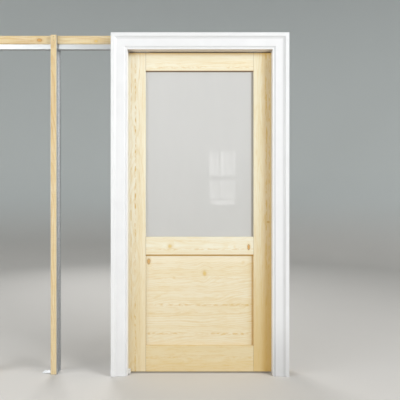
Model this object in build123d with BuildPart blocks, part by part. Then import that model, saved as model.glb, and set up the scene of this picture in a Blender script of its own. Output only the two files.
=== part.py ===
from build123d import *
import os

os.makedirs("parts", exist_ok=True)

# Glazed pocket door in its frame, millimetres.
# Z is up from the frame's feet, Y runs through the door's thickness with the front face at -Y, and X runs along its width.
# The doorway's middle is at X = CX, because the pocket makes the frame reach further to -X than to +X.
CX = 427.2

# Depths, front to back
FINISHED = 114.4            # depth of a side jamb, back of casing to back of casing
STUD_D = 89.0               # depth of the posts
POCKET = 51.0               # clear width of the pocket between the split studs

# Door slab
DOOR_W, DOOR_H, DOOR_T = 914.0, 2032.0, 35.0
DOOR_X0 = -459.5            # trailing edge, just inside the pocket when closed
DOOR_X1 = DOOR_X0 + DOOR_W  # leading edge
DOOR_Z0 = 10.0              # gap below the door
DOOR_Z1 = DOOR_Z0 + DOOR_H
STILE = 113.0
GLASS_Z0, GLASS_Z1 = 868.0, 1926.0     # daylight opening
PANEL_Z0, PANEL_Z1 = 176.0, 754.0      # lower panel opening
EASE = 0.6                  # eased edge of every door member, which leaves a fine line at each joint
LIP = 10.0                  # wood in front of the pane
REBATE = 11.0
TAPE = 1.0
PANE_T = 5.0
PANE_GROW = 9.0             # pane edge beyond the daylight opening
BEAD_D = 16.0
PANEL_T = 12.0
GROOVE_D, GROOVE_W = 10.0, 12.2
DOWEL_R, DOWEL_L = 6.35, 114.0

# Doorway and jambs
HALF_W = 455.0              # half of the clear doorway
JAMB = 19.0
SOFFIT = 2046.0             # underside of the head jambs
SPLIT = 21.5                # half of the slot between the two halves of a split jamb
JAMB_TOP = SOFFIT + JAMB

# Casing
CASE_W = 101.6
REVEAL, REVEAL_HEAD = 1.0, 3.0
CASE_IN = HALF_W + REVEAL
CASE_OUT = CASE_IN + CASE_W
CASE_Z = SOFFIT + REVEAL_HEAD
TOP = CASE_Z + CASE_W

# Rough frame
POST_T = 38.0
STRIKE_X = 480.0            # inner face of the strike post
POCKET_X = -1374.0          # inner face of the pocket's end post
FRAME_TOP = 2146.0
HEADER_Z = 2096.0
BOARD_T = 19.0
BOARD_Y0 = POCKET / 2
BOARD_Y1 = STUD_D / 2
STUD_W = 38.0
MOUTH_X = -512.0            # lower X of the split studs at the pocket's mouth
MID_X = -943.0              # lower X of the split studs half way along the pocket
WRAP = 1.0
PLATE = 2.0

# Track and hangers
TRACK_W, TRACK_H, TRACK_WALL, TRACK_SLOT = 34.0, 32.0, 2.0, 11.0
TRACK_Z0 = HEADER_Z - TRACK_H
TRACK_X0, TRACK_X1 = -1338.0, 450.0
LEDGE = TRACK_Z0 + TRACK_WALL
WHEEL_R, WHEEL_W, WHEEL_Y = 11.0, 6.5, 4.9
AXLE_R, AXLE_DX = 2.5, 20.0
AXLE_Z = LEDGE + WHEEL_R + 0.15
HANGERS = {"lead": DOOR_X1 - 100.0, "trail": DOOR_X0 + 100.0}
BRIDGE_Z = DOOR_Z1 + 9.0    # underside of the raised bridge of a hanger plate
BOLT_R = 4.0
PIVOT = (19.0, 11.0)        # lock lever's pivot, from the middle of its hanger

# Screws: shank radius, head radius, length
FRAME_SCREW = (2.0, 4.0, 32.0)
PLATE_SCREW = (2.0, 3.8, 28.0)
TRIM_SCREW = (1.5, 3.0, 30.0)
TRACK_SCREW = (2.0, 3.6, 26.0)
FIT = 0.03                  # clearance round a screw in its hole

# Screw heads, with the way each screw drives: x from the doorway's middle, y, z, direction
board_screws = [(x, s * BOARD_Y1, 2122.0, (0, -s, 0)) for x in (-400.0, 0.0, 400.0) for s in (-1, 1)]
stud_screws = [
    (x + STUD_W / 2, s * BOARD_Y1, z, (0, -s, 0)) for x in (MOUTH_X, MID_X) for z in (2112.0, 2134.0) for s in (-1, 1)
]
strike_screws = [(STRIKE_X - 2.5, y, 2079.0, (1, 0, 0)) for y in (-7.0, 7.0)]
strike_up_screws = [(465.0, y, HEADER_Z - 2.5, (0, 0, 1)) for y in (-7.0, 7.0)]
pocket_screws = [(POCKET_X + 2.5, y, 2070.0, (-1, 0, 0)) for y in (-7.0, 7.0)]
pocket_up_screws = [(-1354.0, y, HEADER_Z - 2.5, (0, 0, 1)) for y in (-7.0, 7.0)]
tab_screws = {x: [(x - PLATE, s * 35.0, z, (1, 0, 0)) for z in (14.0, 32.0) for s in (-1, 1)] for x in (MOUTH_X, MID_X)}
track_screws_at = [(x, 0.0, HEADER_Z - TRACK_WALL, (0, 0, 1)) for x in (-1290, -1070, -850, -630, -410, -190, 30, 250, 430)]
plate_screws_at = [(h + dx, y, DOOR_Z1 + 3.0, (0, 0, -1)) for h in HANGERS.values() for dx in (-35.0, 38.0) for y in (-8.0, 8.0)]
guide_screws = [(-440.0, s * 30.0, 19.0, (-1, 0, 0)) for s in (-1, 1)]
soffit_screws = [(x, 35.0, SOFFIT, (0, 0, 1)) for x in (-300.0, 0.0, 300.0)]
bumper_screws = [(-1354.0, 0.0, 1000.0, (-1, 0, 0))]
dowel_z = (40.0, 90.0, 140.0, 787.0, 838.0, 1962.0, 1998.0)


def planes(screws):
    """One plane at each screw's head, facing back out of the hole."""
    return [Plane(origin=(CX + x, y, z), z_dir=(-d[0], -d[1], -d[2])) for x, y, z, d in screws]


def bar(x0, x1, y0, y1, z0, z1, mode=Mode.ADD):
    """A squared bar between six faces, its x measured from the doorway's middle."""
    with Locations((CX + (x0 + x1) / 2, (y0 + y1) / 2, (z0 + z1) / 2)):
        Box(x1 - x0, y1 - y0, z1 - z0, mode=mode)


def bore(screws, size, sunk=False):
    """Holes for screws, with a countersink where the head sits."""
    r, head, length = size
    with Locations(*planes(screws)):
        if sunk:
            CounterSinkHole(r + FIT, head + FIT, depth=length + 0.5, counter_sink_angle=90)
        else:
            Hole(r + FIT, depth=length + 0.5)


def wood_screws(screws, size):
    """Countersunk screws with a square drive and a pointed tip."""
    r, head, length = size
    down = (Align.CENTER, Align.CENTER, Align.MAX)
    with Locations(*planes(screws)):
        Cylinder(r, length - 2 * r, align=down)
        Cone(bottom_radius=r, top_radius=head, height=head - r, align=down)
        Box(head * 0.7, head * 0.7, (head - r) * 0.9, align=down, mode=Mode.SUBTRACT)
    tips = [(x + d[0] * (length - 2 * r), y + d[1] * (length - 2 * r), z + d[2] * (length - 2 * r), d) for x, y, z, d in screws]
    with Locations(*planes(tips)):
        Cone(bottom_radius=0.3, top_radius=r, height=2 * r, align=down)


def finish(piece, name):
    piece.part.label = name
    export_step(piece.part, f"parts/{name}.step")
    print(name, len(piece.part.solids()), round(piece.part.volume / 1000, 2))


# ---------------------------------------------------------------- door slab

IN0, IN1 = DOOR_X0 + STILE, DOOR_X1 - STILE      # inner edges of the stiles
BACK = DOOR_T / 2
GLASS_BACK = -BACK + LIP + TAPE + PANE_T         # rear face of the pane
REB_Y = -BACK + LIP


def dowel_planes(edge, sign, zs):
    """Dowel positions on a stile's inner edge."""
    return [Plane(origin=(CX + edge, 0, z), z_dir=(sign, 0, 0)) for z in zs]


with BuildPart() as door_stile_lead:
    with BuildSketch(Plane.XY.offset(DOOR_Z0)):
        with Locations((CX + (IN1 + DOOR_X1) / 2, 0)):
            Rectangle(STILE, DOOR_T)
    extrude(amount=DOOR_H)
    chamfer(door_stile_lead.faces().filter_by(Axis.Y).edges(), length=EASE)
    bar(IN1, IN1 + REBATE, REB_Y, BACK, GLASS_Z0 - REBATE, GLASS_Z1 + REBATE, mode=Mode.SUBTRACT)
    bar(IN1, IN1 + GROOVE_D, -GROOVE_W / 2, GROOVE_W / 2, PANEL_Z0 - GROOVE_D, PANEL_Z1 + GROOVE_D, mode=Mode.SUBTRACT)
    with Locations(*dowel_planes(IN1, -1, dowel_z)):
        Hole(DOWEL_R + FIT, depth=DOWEL_L / 2 + 1)
    bore(plate_screws_at, PLATE_SCREW)
finish(door_stile_lead, "door_stile_lead")

with BuildPart() as door_stile_trail:
    with BuildSketch(Plane.XY.offset(DOOR_Z0)):
        with Locations((CX + (IN0 + DOOR_X0) / 2, 0)):
            Rectangle(STILE, DOOR_T)
    extrude(amount=DOOR_H)
    chamfer(door_stile_trail.faces().filter_by(Axis.Y).edges(), length=EASE)
    bar(IN0 - REBATE, IN0, REB_Y, BACK, GLASS_Z0 - REBATE, GLASS_Z1 + REBATE, mode=Mode.SUBTRACT)
    bar(IN0 - GROOVE_D, IN0, -GROOVE_W / 2, GROOVE_W / 2, PANEL_Z0 - GROOVE_D, PANEL_Z1 + GROOVE_D, mode=Mode.SUBTRACT)
    with Locations(*dowel_planes(IN0, 1, dowel_z)):
        Hole(DOWEL_R + FIT, depth=DOWEL_L / 2 + 1)
    bore(plate_screws_at, PLATE_SCREW)
finish(door_stile_trail, "door_stile_trail")

with BuildPart() as door_top_rail:
    with BuildSketch(Plane.XY.offset(GLASS_Z1)):
        with Locations((CX + (IN0 + IN1) / 2, 0)):
            Rectangle(IN1 - IN0, DOOR_T)
    extrude(amount=DOOR_Z1 - GLASS_Z1)
    chamfer(door_top_rail.faces().filter_by(Axis.Y).edges(), length=EASE)
    bar(IN0, IN1, REB_Y, BACK, GLASS_Z1, GLASS_Z1 + REBATE, mode=Mode.SUBTRACT)
    with Locations(*dowel_planes(IN0, -1, dowel_z[5:]), *dowel_planes(IN1, 1, dowel_z[5:])):
        Hole(DOWEL_R + FIT, depth=DOWEL_L / 2 + 1)
    bore(plate_screws_at, PLATE_SCREW)
finish(door_top_rail, "door_top_rail")

with BuildPart() as door_mid_rail:
    with BuildSketch(Plane.XY.offset(PANEL_Z1)):
        with Locations((CX + (IN0 + IN1) / 2, 0)):
            Rectangle(IN1 - IN0, DOOR_T)
    extrude(amount=GLASS_Z0 - PANEL_Z1)
    chamfer(door_mid_rail.faces().filter_by(Axis.Y).edges(), length=EASE)
    bar(IN0, IN1, REB_Y, BACK, GLASS_Z0 - REBATE, GLASS_Z0, mode=Mode.SUBTRACT)
    bar(IN0, IN1, -GROOVE_W / 2, GROOVE_W / 2, PANEL_Z1, PANEL_Z1 + GROOVE_D, mode=Mode.SUBTRACT)
    with Locations(*dowel_planes(IN0, -1, dowel_z[3:5]), *dowel_planes(IN1, 1, dowel_z[3:5])):
        Hole(DOWEL_R + FIT, depth=DOWEL_L / 2 + 1)
finish(door_mid_rail, "door_mid_rail")

with BuildPart() as door_bottom_rail:
    with BuildSketch(Plane.XY.offset(DOOR_Z0)):
        with Locations((CX + (IN0 + IN1) / 2, 0)):
            Rectangle(IN1 - IN0, DOOR_T)
    extrude(amount=PANEL_Z0 - DOOR_Z0)
    chamfer(door_bottom_rail.faces().filter_by(Axis.Y).edges(), length=EASE)
    bar(IN0, IN1, -GROOVE_W / 2, GROOVE_W / 2, PANEL_Z0 - GROOVE_D, PANEL_Z0, mode=Mode.SUBTRACT)
    with Locations(*dowel_planes(IN0, -1, dowel_z[:3]), *dowel_planes(IN1, 1, dowel_z[:3])):
        Hole(DOWEL_R + FIT, depth=DOWEL_L / 2 + 1)
finish(door_bottom_rail, "door_bottom_rail")

with BuildPart() as door_panel:
    with BuildSketch(Plane.XZ.offset(-PANEL_T / 2)):
        with Locations((CX + (IN0 + IN1) / 2, (PANEL_Z0 + PANEL_Z1) / 2)):
            Rectangle(IN1 - IN0 + 18.0, PANEL_Z1 - PANEL_Z0 + 18.0)
    extrude(amount=PANEL_T)
finish(door_panel, "door_panel")

with BuildPart() as door_dowels:
    with Locations(*[Plane(origin=(CX + e, 0, z), z_dir=(1, 0, 0)) for e in (IN0, IN1) for z in dowel_z]):
        Cylinder(DOWEL_R, DOWEL_L)
    chamfer(door_dowels.edges().filter_by(GeomType.CIRCLE), length=1.0)
finish(door_dowels, "door_dowels")

# ---------------------------------------------------------------- glazing

PANE = (IN0 - PANE_GROW, IN1 + PANE_GROW, GLASS_Z0 - PANE_GROW, GLASS_Z1 + PANE_GROW)

with BuildPart() as glass_pane:
    with BuildSketch(Plane.XZ.offset(-GLASS_BACK)):
        with Locations((CX + (PANE[0] + PANE[1]) / 2, (PANE[2] + PANE[3]) / 2)):
            Rectangle(PANE[1] - PANE[0], PANE[3] - PANE[2])
    extrude(amount=PANE_T)
    chamfer(glass_pane.edges(), length=0.4)
finish(glass_pane, "glass_pane")

with BuildPart() as glazing_tape:
    y0, y1 = REB_Y, REB_Y + TAPE
    bar(PANE[0], IN0 - 0.6, y0, y1, PANE[2], PANE[3])
    bar(IN1 + 0.6, PANE[1], y0, y1, PANE[2], PANE[3])
    bar(IN0 - 0.5, IN1 + 0.5, y0, y1, PANE[2], GLASS_Z0 - 0.6)
    bar(IN0 - 0.5, IN1 + 0.5, y0, y1, GLASS_Z1 + 0.6, PANE[3])
finish(glazing_tape, "glazing_tape")

with BuildPart() as setting_blocks:
    for x in (IN0 + 172.0, IN1 - 172.0):
        bar(x - 40.0, x + 40.0, GLASS_BACK - PANE_T, GLASS_BACK, GLASS_Z0 - REBATE, PANE[2])
finish(setting_blocks, "setting_blocks")

# Glazing bead: flat against the pane and the rebate, rounded on its open side, mitred at the corners
with BuildSketch() as bead_profile:
    with BuildLine():
        Polyline((0, 0), (REBATE - 0.05, 0), (REBATE - 0.05, BEAD_D), (8.0, BEAD_D))
        RadiusArc((8.0, BEAD_D), (0, BEAD_D - 8.0), -8.0)
        Line((0, BEAD_D - 8.0), (0, 0))
    make_face()

bead_corners = [
    (IN0, IN1, GLASS_Z0, GLASS_Z1),
    (IN0 - REBATE, IN1 + REBATE, GLASS_Z0 - REBATE, GLASS_Z1 + REBATE),
]

with BuildPart() as glazing_beads_upright:
    for x, u in ((IN1, 1), (IN0, -1)):
        with BuildSketch(Plane(origin=(CX + x, GLASS_BACK, GLASS_Z0 - REBATE), x_dir=(u, 0, 0), z_dir=(0, 0, u))):
            add(bead_profile.sketch)
        extrude(amount=u * (GLASS_Z1 - GLASS_Z0 + 2 * REBATE))
    for z_in, z_out in ((GLASS_Z1, GLASS_Z1 + REBATE), (GLASS_Z0, GLASS_Z0 - REBATE)):
        with BuildSketch(Plane.XZ):
            with BuildLine():
                Polyline(
                    (CX + IN0, z_in), (CX + IN1, z_in), (CX + IN1 + REBATE, z_out), (CX + IN0 - REBATE, z_out), close=True
                )
            make_face()
        extrude(amount=40.0, both=True, mode=Mode.SUBTRACT)
finish(glazing_beads_upright, "glazing_beads_upright")

with BuildPart() as glazing_beads_cross:
    for z, u in ((GLASS_Z1, 1), (GLASS_Z0, -1)):
        with BuildSketch(Plane(origin=(CX + IN0 - REBATE, GLASS_BACK, z), x_dir=(0, 0, u), z_dir=(-u, 0, 0))):
            add(bead_profile.sketch)
        extrude(amount=-u * (IN1 - IN0 + 2 * REBATE))
    for x_in, x_out in ((IN1, IN1 + REBATE), (IN0, IN0 - REBATE)):
        with BuildSketch(Plane.XZ):
            with BuildLine():
                Polyline(
                    (CX + x_in, GLASS_Z0), (CX + x_in, GLASS_Z1), (CX + x_out, GLASS_Z1 + REBATE),
                    (CX + x_out, GLASS_Z0 - REBATE), close=True
                )
            make_face()
        extrude(amount=40.0, both=True, mode=Mode.SUBTRACT)
finish(glazing_beads_cross, "glazing_beads_cross")

# ---------------------------------------------------------------- hangers on the door's top edge


def hanger_plate(h):
    """Pressed steel plate: two screwed feet, and a raised bridge that is slotted from its open end."""
    z = DOOR_Z1
    bar(h - 50, h - 20, -16, 16, z, z + 3)
    bar(h + 12, h + 50, -16, 16, z, z + 3)
    bar(h - 20, h + 12, -16, 16, z, z + 12)
    bar(h - 17, h + 12, -13, 13, z, z + 9, mode=Mode.SUBTRACT)
    with Locations((CX + h, 0, z + 10.5)):
        Cylinder(BOLT_R + 0.3, 8.0, mode=Mode.SUBTRACT)
    bar(h, h + 12, -BOLT_R - 0.3, BOLT_R + 0.3, z + 9, z + 12, mode=Mode.SUBTRACT)
    with Locations((CX + h + PIVOT[0], PIVOT[1], z + 1.5)):
        Cylinder(2.5, 8.0, mode=Mode.SUBTRACT)
    bore([s for s in plate_screws_at if abs(s[0] - h) < 60], PLATE_SCREW, sunk=True)


with BuildPart() as hanger_plate_lead:
    hanger_plate(HANGERS["lead"])
    fillet(hanger_plate_lead.edges().filter_by(Axis.Z).group_by(Axis.X)[0], radius=4)
    fillet(hanger_plate_lead.edges().filter_by(Axis.Z).group_by(Axis.X)[-1], radius=4)
finish(hanger_plate_lead, "hanger_plate_lead")

with BuildPart() as hanger_plate_trail:
    hanger_plate(HANGERS["trail"])
    fillet(hanger_plate_trail.edges().filter_by(Axis.Z).group_by(Axis.X)[0], radius=4)
    fillet(hanger_plate_trail.edges().filter_by(Axis.Z).group_by(Axis.X)[-1], radius=4)
finish(hanger_plate_trail, "hanger_plate_trail")

with BuildPart() as plate_screws:
    wood_screws(plate_screws_at, PLATE_SCREW)
finish(plate_screws, "plate_screws")

with BuildPart() as pendant_bolts:
    for h in HANGERS.values():
        with BuildSketch(Plane.XY.offset(BRIDGE_Z - 5.4)):
            with Locations((CX + h, 0)):
                RegularPolygon(6.5, 6, major_radius=False)
        extrude(amount=5.4)
        with BuildSketch(Plane.XY.offset(BRIDGE_Z)):
            with Locations((CX + h, 0)):
                Circle(BOLT_R)
        extrude(amount=34.5)
    chamfer(pendant_bolts.faces().sort_by(Axis.Z)[-2:].edges(), length=0.8)
finish(pendant_bolts, "pendant_bolts")

with BuildPart() as lock_nuts:
    for h in HANGERS.values():
        with BuildSketch(Plane.XY.offset(BRIDGE_Z + 3.0)):
            with Locations((CX + h, 0)):
                RegularPolygon(6.5, 6, major_radius=False)
                Circle(BOLT_R + FIT, mode=Mode.SUBTRACT)
        extrude(amount=4.0)
finish(lock_nuts, "lock_nuts")


def lock_lever(h):
    """Lever that turns across the bridge's open end and keeps the bolt's head in it."""
    px, py = CX + h + PIVOT[0], PIVOT[1]
    with BuildSketch(Plane.XY.offset(DOOR_Z1 + 3.3)) as arm:
        with Locations((px, py)):
            Circle(4.6)
        with Locations((px, py - 12.5)):
            Rectangle(8.0, 25.0)
        with Locations((px, py - 25.0)):
            Circle(4.0)
        with Locations((px, py)):
            Circle(2.5, mode=Mode.SUBTRACT)
    extrude(arm.sketch, amount=4.0)
    with BuildSketch(Plane.XY.offset(DOOR_Z1 + 7.3)) as tab:
        with Locations((px, py - 25.0)):
            Circle(3.0)
    extrude(tab.sketch, amount=4.0)


with BuildPart() as lock_lever_lead:
    lock_lever(HANGERS["lead"])
finish(lock_lever_lead, "lock_lever_lead")

with BuildPart() as lock_lever_trail:
    lock_lever(HANGERS["trail"])
finish(lock_lever_trail, "lock_lever_trail")

with BuildPart() as lever_rivets:
    for h in HANGERS.values():
        with Locations((CX + h + PIVOT[0], PIVOT[1], DOOR_Z1 + 0.1)):
            Cylinder(2.45, 7.5, align=(Align.CENTER, Align.CENTER, Align.MIN))
        with Locations((CX + h + PIVOT[0], PIVOT[1], DOOR_Z1 + 7.6)):
            Cylinder(4.0, 1.2, align=(Align.CENTER, Align.CENTER, Align.MIN))
    fillet(lever_rivets.edges().group_by(Axis.Z)[-1], radius=0.8)
finish(lever_rivets, "lever_rivets")


def trolley(h):
    """Die-cast carriage: a slim spine between the wheels and a boss for the pendant bolt."""
    with BuildSketch(Plane.XY.offset(2070.0)) as spine:
        with Locations((CX + h, 0)):
            SlotOverall(62.0, 9.0)
    extrude(spine.sketch, amount=14.0)
    bar(h - 8, h + 8, -8, 8, 2068, 2086)
    with Locations((CX + h, 0, 2077)):
        Cylinder(BOLT_R + FIT, 24.0, mode=Mode.SUBTRACT)
    with Locations((CX + h - AXLE_DX, 0, AXLE_Z), (CX + h + AXLE_DX, 0, AXLE_Z)):
        Cylinder(AXLE_R + 0.02, 24.0, rotation=(90, 0, 0), mode=Mode.SUBTRACT)


with BuildPart() as trolley_lead:
    trolley(HANGERS["lead"])
finish(trolley_lead, "trolley_lead")

with BuildPart() as trolley_trail:
    trolley(HANGERS["trail"])
finish(trolley_trail, "trolley_trail")

with BuildPart() as wheel_axles:
    spots = [(CX + h + s * AXLE_DX, 0, AXLE_Z) for h in HANGERS.values() for s in (-1, 1)]
    with Locations(*spots):
        Cylinder(AXLE_R, 24.0, rotation=(90, 0, 0))
    for y in (-12.3, 12.3):
        with Locations(*[(x, y, z) for x, _, z in spots]):
            Cylinder(4.0, 1.2, rotation=(90, 0, 0))
finish(wheel_axles, "wheel_axles")


def wheel_pair(piece, x):
    """Two flanged nylon wheels, one each side of the carriage, free on one axle."""
    y0, y1 = WHEEL_Y, WHEEL_Y + WHEEL_W
    with BuildSketch(Plane.XY) as section:
        with BuildLine():
            Polyline(
                (AXLE_R + 0.05, y0), (5.2, y0), (5.2, y0 + 1.2), (8.4, y0 + 1.2), (8.4, y0), (WHEEL_R - 0.6, y0),
                (WHEEL_R, y0 + 0.6), (WHEEL_R, y1 - 0.6), (WHEEL_R - 0.6, y1), (8.4, y1), (8.4, y1 - 1.2), (5.2, y1 - 1.2),
                (5.2, y1), (AXLE_R + 0.05, y1), close=True
            )
        make_face()
    with BuildPart(mode=Mode.PRIVATE) as one:
        revolve(section.sketch, axis=Axis.Y)
    with Locations((CX + x, 0, AXLE_Z)):
        add(one.part)
        add(one.part.mirror(Plane.XZ))


with BuildPart() as wheels_lead_a:
    wheel_pair(wheels_lead_a, HANGERS["lead"] + AXLE_DX)
finish(wheels_lead_a, "wheels_lead_a")

with BuildPart() as wheels_lead_b:
    wheel_pair(wheels_lead_b, HANGERS["lead"] - AXLE_DX)
finish(wheels_lead_b, "wheels_lead_b")

with BuildPart() as wheels_trail_a:
    wheel_pair(wheels_trail_a, HANGERS["trail"] + AXLE_DX)
finish(wheels_trail_a, "wheels_trail_a")

with BuildPart() as wheels_trail_b:
    wheel_pair(wheels_trail_b, HANGERS["trail"] - AXLE_DX)
finish(wheels_trail_b, "wheels_trail_b")

# ---------------------------------------------------------------- track and header

with BuildPart() as track:
    with BuildSketch(Plane(origin=(CX + TRACK_X0, 0, TRACK_Z0), x_dir=(0, 1, 0), z_dir=(1, 0, 0))):
        with Locations((0, TRACK_H / 2)):
            RectangleRounded(TRACK_W, TRACK_H, 1.2)
            Rectangle(TRACK_W - 2 * TRACK_WALL, TRACK_H - 2 * TRACK_WALL, mode=Mode.SUBTRACT)
        Rectangle(TRACK_SLOT, 3 * TRACK_WALL, mode=Mode.SUBTRACT)
    extrude(amount=TRACK_X1 - TRACK_X0)
    with Locations(*planes(track_screws_at)):
        Hole(2.1, depth=4.0)
finish(track, "track")

with BuildPart() as track_screws:
    r, head, length = TRACK_SCREW
    down = (Align.CENTER, Align.CENTER, Align.MAX)
    with Locations(*planes(track_screws_at)):
        Cylinder(r, length, align=down)
        Cylinder(head, 2.2, align=(Align.CENTER, Align.CENTER, Align.MIN))
        with Locations((0, 0, 2.2)):
            Box(2.6, 2.6, 1.5, align=down, mode=Mode.SUBTRACT)
finish(track_screws, "track_screws")

with BuildPart() as header_rail:
    with BuildSketch(Plane.XY.offset(HEADER_Z)):
        with Locations((CX + (POCKET_X + STRIKE_X) / 2, 0)):
            Rectangle(STRIKE_X - POCKET_X, POCKET)
    extrude(amount=FRAME_TOP - HEADER_Z)
    bore(board_screws + stud_screws + strike_up_screws + pocket_up_screws, FRAME_SCREW)
    bore(track_screws_at, TRACK_SCREW)
finish(header_rail, "header_rail")

with BuildPart() as header_board_front:
    with BuildSketch(Plane.XY.offset(JAMB_TOP)):
        with Locations((CX + (STRIKE_X - HALF_W - JAMB) / 2, -(BOARD_Y0 + BOARD_Y1) / 2)):
            Rectangle(STRIKE_X + HALF_W + JAMB, BOARD_T)
    extrude(amount=FRAME_TOP - JAMB_TOP)
    bore(board_screws[0::2], FRAME_SCREW, sunk=True)
finish(header_board_front, "header_board_front")

with BuildPart() as header_board_rear:
    with BuildSketch(Plane.XY.offset(JAMB_TOP)):
        with Locations((CX + (STRIKE_X - HALF_W - JAMB) / 2, (BOARD_Y0 + BOARD_Y1) / 2)):
            Rectangle(STRIKE_X + HALF_W + JAMB, BOARD_T)
    extrude(amount=FRAME_TOP - JAMB_TOP)
    bore(board_screws[1::2], FRAME_SCREW, sunk=True)
    bore(soffit_screws, TRIM_SCREW)
finish(header_board_rear, "header_board_rear")

with BuildPart() as header_bracket_strike:
    bar(STRIKE_X - 2.5, STRIKE_X, -12, 12, JAMB_TOP + 1, HEADER_Z)
    bar(452, STRIKE_X, -12, 12, HEADER_Z - 2.5, HEADER_Z)
    bore(strike_screws + strike_up_screws, FRAME_SCREW, sunk=True)
finish(header_bracket_strike, "header_bracket_strike")

with BuildPart() as header_bracket_pocket:
    bar(POCKET_X, POCKET_X + 2.5, -12, 12, 2050, HEADER_Z)
    bar(POCKET_X, -1340, -12, 12, HEADER_Z - 2.5, HEADER_Z)
    bore(pocket_screws + pocket_up_screws, FRAME_SCREW, sunk=True)
finish(header_bracket_pocket, "header_bracket_pocket")

# ---------------------------------------------------------------- posts, split studs and foot brackets

with BuildPart() as strike_post:
    with BuildSketch(Plane.XY):
        with Locations((CX + STRIKE_X + POST_T / 2, 0)):
            Rectangle(POST_T, STUD_D)
    extrude(amount=FRAME_TOP)
    bore(strike_screws, FRAME_SCREW)
    with Locations(*[Plane(origin=(CX + STRIKE_X, 0, z), z_dir=(1, 0, 0)) for z in (600.0, 1500.0)]):
        Hole(2.6, depth=60.0)
finish(strike_post, "strike_post")

with BuildPart() as pocket_end_post:
    with BuildSketch(Plane.XY):
        with Locations((CX + POCKET_X - POST_T / 2, 0)):
            Rectangle(POST_T, STUD_D)
    extrude(amount=FRAME_TOP)
    bore(pocket_screws, FRAME_SCREW)
    bore(bumper_screws, TRIM_SCREW)
    with Locations(*[Plane(origin=(CX + POCKET_X, 0, z), z_dir=(-1, 0, 0)) for z in (600.0, 1500.0)]):
        Hole(2.6, depth=60.0)
finish(pocket_end_post, "pocket_end_post")

with BuildPart() as shims:
    for z in (170.0, 1010.0, 1860.0):
        bar(HALF_W + JAMB, STRIKE_X, -STUD_D / 2, STUD_D / 2, z - 20, z + 20)
finish(shims, "shims")


def split_stud(x, s):
    """Pine strip of one split stud, within its steel channel."""
    y0, y1 = sorted((s * (BOARD_Y0 + WRAP), s * BOARD_Y1))
    bar(x + WRAP, x + STUD_W - WRAP, y0, y1, PLATE, FRAME_TOP)
    bore([q for q in stud_screws if q[0] == x + STUD_W / 2 and q[1] * s > 0], FRAME_SCREW, sunk=True)
    bore([q for q in tab_screws[x] if q[1] * s > 0], FRAME_SCREW)


with BuildPart() as mouth_stud_front:
    split_stud(MOUTH_X, -1)
finish(mouth_stud_front, "mouth_stud_front")

with BuildPart() as mouth_stud_rear:
    split_stud(MOUTH_X, 1)
finish(mouth_stud_rear, "mouth_stud_rear")

with BuildPart() as mid_stud_front:
    split_stud(MID_X, -1)
finish(mid_stud_front, "mid_stud_front")

with BuildPart() as mid_stud_rear:
    split_stud(MID_X, 1)
finish(mid_stud_rear, "mid_stud_rear")

with BuildPart() as stud_wraps:
    for x in (MOUTH_X, MID_X):
        for s in (-1, 1):
            with BuildSketch(Plane.XY.offset(PLATE)):
                with Locations((CX + x + STUD_W / 2, s * (BOARD_Y0 + BOARD_Y1) / 2)):
                    Rectangle(STUD_W, BOARD_T)
                with Locations((CX + x + STUD_W / 2, s * (BOARD_Y0 + BOARD_Y1 + WRAP) / 2)):
                    Rectangle(STUD_W - 2 * WRAP, BOARD_T - WRAP, mode=Mode.SUBTRACT)
            extrude(amount=FRAME_TOP - PLATE)
    bore(stud_screws + tab_screws[MOUTH_X] + tab_screws[MID_X], FRAME_SCREW)
finish(stud_wraps, "stud_wraps")


def floor_bracket(x):
    """Folded steel foot: a flat plate under both studs and two tabs up their sides."""
    with BuildSketch(Plane.XY) as foot:
        with Locations((CX + x + STUD_W / 2 - PLATE / 2, 0)):
            Rectangle(STUD_W + PLATE, STUD_D)
        with Locations((CX + x - 30.0, 0)):
            RectangleRounded(64.0, 42.0, 4.0)
        with Locations(*[(CX + x - 32.0 + dx, dy) for dx in (-18.0, 18.0) for dy in (-12.0, 12.0)]):
            Circle(2.6, mode=Mode.SUBTRACT)
    extrude(foot.sketch, amount=PLATE)
    for s in (-1, 1):
        bar(x - PLATE, x, s * 35 - 8, s * 35 + 8, 0, 42)
    bore(tab_screws[x], FRAME_SCREW, sunk=True)


with BuildPart() as floor_bracket_mouth:
    floor_bracket(MOUTH_X)
finish(floor_bracket_mouth, "floor_bracket_mouth")

with BuildPart() as floor_bracket_mid:
    floor_bracket(MID_X)
finish(floor_bracket_mid, "floor_bracket_mid")

with BuildPart() as frame_screws:
    wood_screws(
        board_screws + stud_screws + strike_screws + strike_up_screws + pocket_screws + pocket_up_screws
        + tab_screws[MOUTH_X] + tab_screws[MID_X],
        FRAME_SCREW,
    )
finish(frame_screws, "frame_screws")

# ---------------------------------------------------------------- jambs

HALF_D = FINISHED / 2
JAMB_Y = (SPLIT + HALF_D) / 2

with BuildPart() as strike_jamb:
    with BuildSketch(Plane.XY):
        with Locations((CX + HALF_W + JAMB / 2, 0)):
            Rectangle(JAMB, FINISHED)
    extrude(amount=JAMB_TOP)
    fillet(strike_jamb.edges().filter_by(Axis.Z).group_by(Axis.X)[0], radius=1.5)
finish(strike_jamb, "strike_jamb")

with BuildPart() as split_jamb_front:
    with BuildSketch(Plane.XY):
        with Locations((CX - HALF_W - JAMB / 2, -JAMB_Y)):
            Rectangle(JAMB, HALF_D - SPLIT)
    extrude(amount=JAMB_TOP)
    fillet(split_jamb_front.edges().filter_by(Axis.Z).group_by(Axis.X)[-1], radius=1.5)
    bore(guide_screws[:1], TRIM_SCREW)
finish(split_jamb_front, "split_jamb_front")

with BuildPart() as split_jamb_rear:
    mirror(split_jamb_front.part, about=Plane.XZ)
finish(split_jamb_rear, "split_jamb_rear")

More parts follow.
